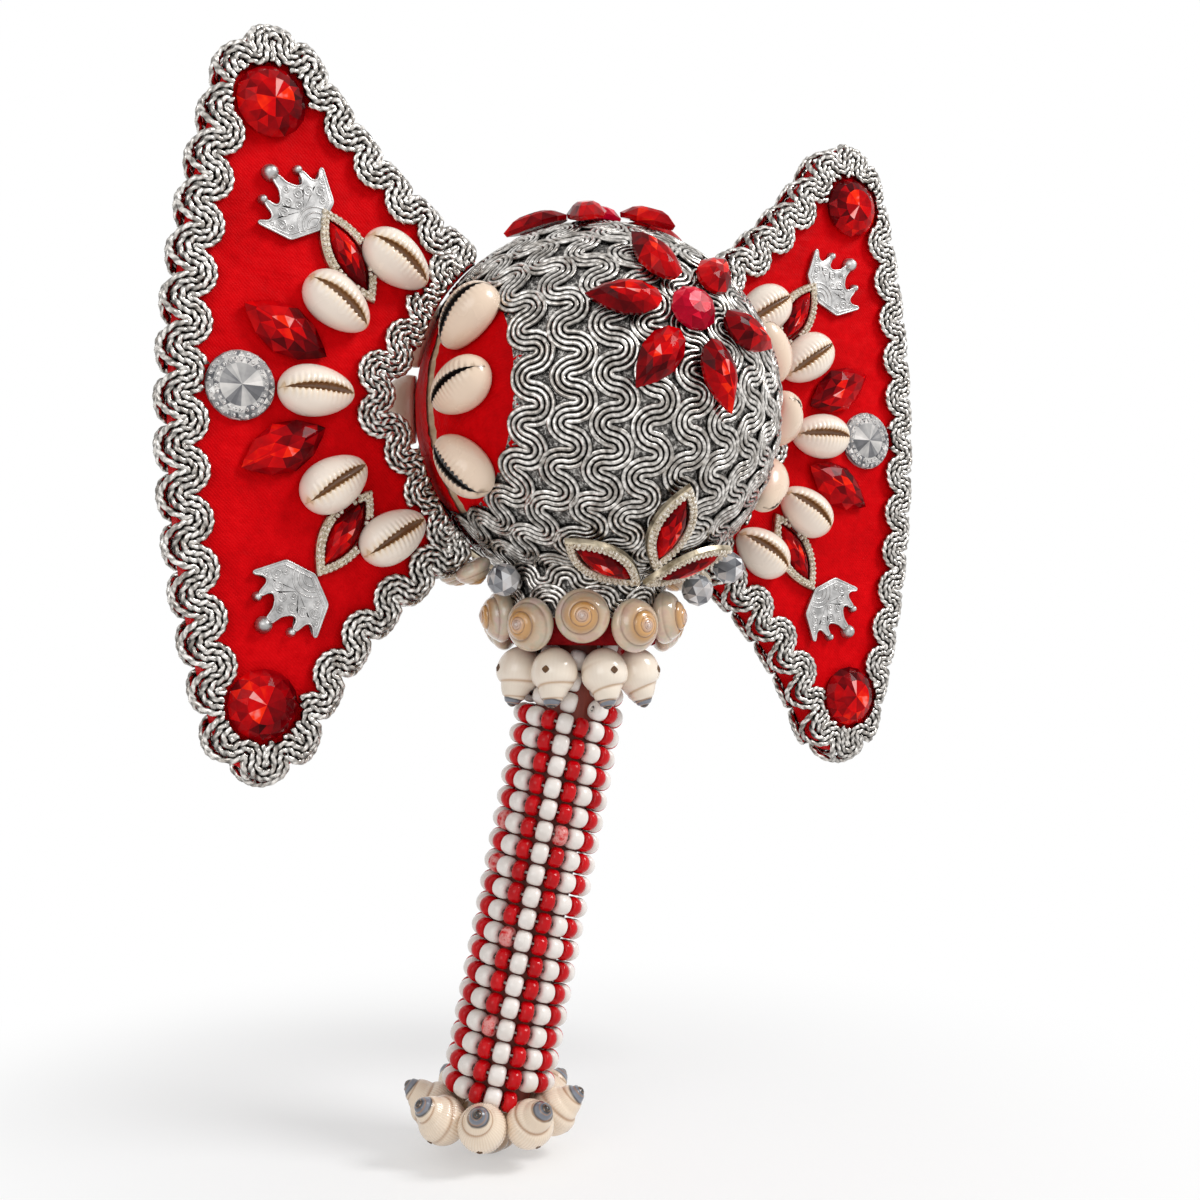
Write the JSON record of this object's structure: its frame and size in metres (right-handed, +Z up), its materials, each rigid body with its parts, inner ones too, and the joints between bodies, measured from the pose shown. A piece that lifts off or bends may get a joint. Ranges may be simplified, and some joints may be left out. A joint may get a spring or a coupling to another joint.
{
  "type": "beaded maraca",
  "caption": "Maraca shaped like a double axe: a covered gourd rattle between two trimmed satin blades, on a leaning handle wound with a bead string, with shells at the neck and the end.",
  "frame": {"origin": "on the floor below the gourd's centre, at the bottom centre of the bounding box", "axes": "+Z up, +X along the blades, front towards -Y"},
  "size_m": [0.239, 0.1156, 0.2967],
  "materials": {
    "gourd_skin": "matte",
    "red_satin": "satin",
    "silver_braid": "metallic",
    "cowrie_shell": "gloss",
    "red_stone": "gloss",
    "pink_stone": "gloss",
    "crystal_chain": "gloss",
    "seed": "matte",
    "stick_wood": "matte",
    "pearl_shell": "gloss",
    "white_shell": "satin",
    "clear_crystal": "gloss",
    "thread": "matte",
    "white_bead": "gloss",
    "red_bead": "gloss",
    "banded_shell": "satin",
    "brown_shell": "gloss",
    "board": "matte",
    "silver_charm": "gloss",
    "rivoli_stone": "gloss"
  },
  "bodies": {
    "maraca": {"gourd_shell": "gourd_skin", "cap_satin_left_front": "red_satin", "cap_satin_left_back": "red_satin", "cap_satin_right_front": "red_satin", "cap_satin_right_back": "red_satin", "gourd_braid": "silver_braid", "gourd_cowries": "cowrie_shell", "flower_petals": "red_stone", "flower_centres": "pink_stone", "leaf_stones": "red_stone", "leaf_borders": "crystal_chain", "handle_stick": "stick_wood", "neck_collar": "red_satin", "top_shell_ring": "pearl_shell", "neck_snails": "white_shell", "side_shells": "pearl_shell", "crystal_beads": "clear_crystal", "bead_thread": "thread", "white_beads": "white_bead", "red_beads": "red_bead", "end_snails": "banded_shell", "base_shell": "brown_shell", "left_board": "board", "right_board": "board", "left_satin_front": "red_satin", "left_satin_back": "red_satin", "right_satin_front": "red_satin", "right_satin_back": "red_satin", "left_trim_front": "silver_braid", "left_trim_back": "silver_braid", "right_trim_front": "silver_braid", "right_trim_back": "silver_braid", "left_gems": "red_stone", "right_gems": "red_stone", "left_crowns": "silver_charm", "right_crowns": "silver_charm", "left_navettes": "red_stone", "right_navettes": "red_stone", "left_chain_stones": "red_stone", "right_chain_stones": "red_stone", "left_chain_borders": "crystal_chain", "right_chain_borders": "crystal_chain", "left_rivolis": "rivoli_stone", "right_rivolis": "rivoli_stone", "left_cowries": "cowrie_shell", "right_cowries": "cowrie_shell"},
    "seeds_front": {"seeds_front": "seed"},
    "seeds_back": {"seeds_back": "seed"},
    "seeds_left": {"seeds_left": "seed"},
    "seeds_right": {"seeds_right": "seed"}
  },
  "joints": [
    {"name": "seeds_front_hop", "type": "slide", "parent": "maraca", "child": "seeds_front", "axis": [0, 0, 1], "range_m": [0, 0.07]},
    {"name": "seeds_back_hop", "type": "slide", "parent": "maraca", "child": "seeds_back", "axis": [0, 0, 1], "range_m": [0, 0.07]},
    {"name": "seeds_left_hop", "type": "slide", "parent": "maraca", "child": "seeds_left", "axis": [0, 0, 1], "range_m": [0, 0.07]},
    {"name": "seeds_right_hop", "type": "slide", "parent": "maraca", "child": "seeds_right", "axis": [0, 0, 1], "range_m": [0, 0.07]}
  ]
}
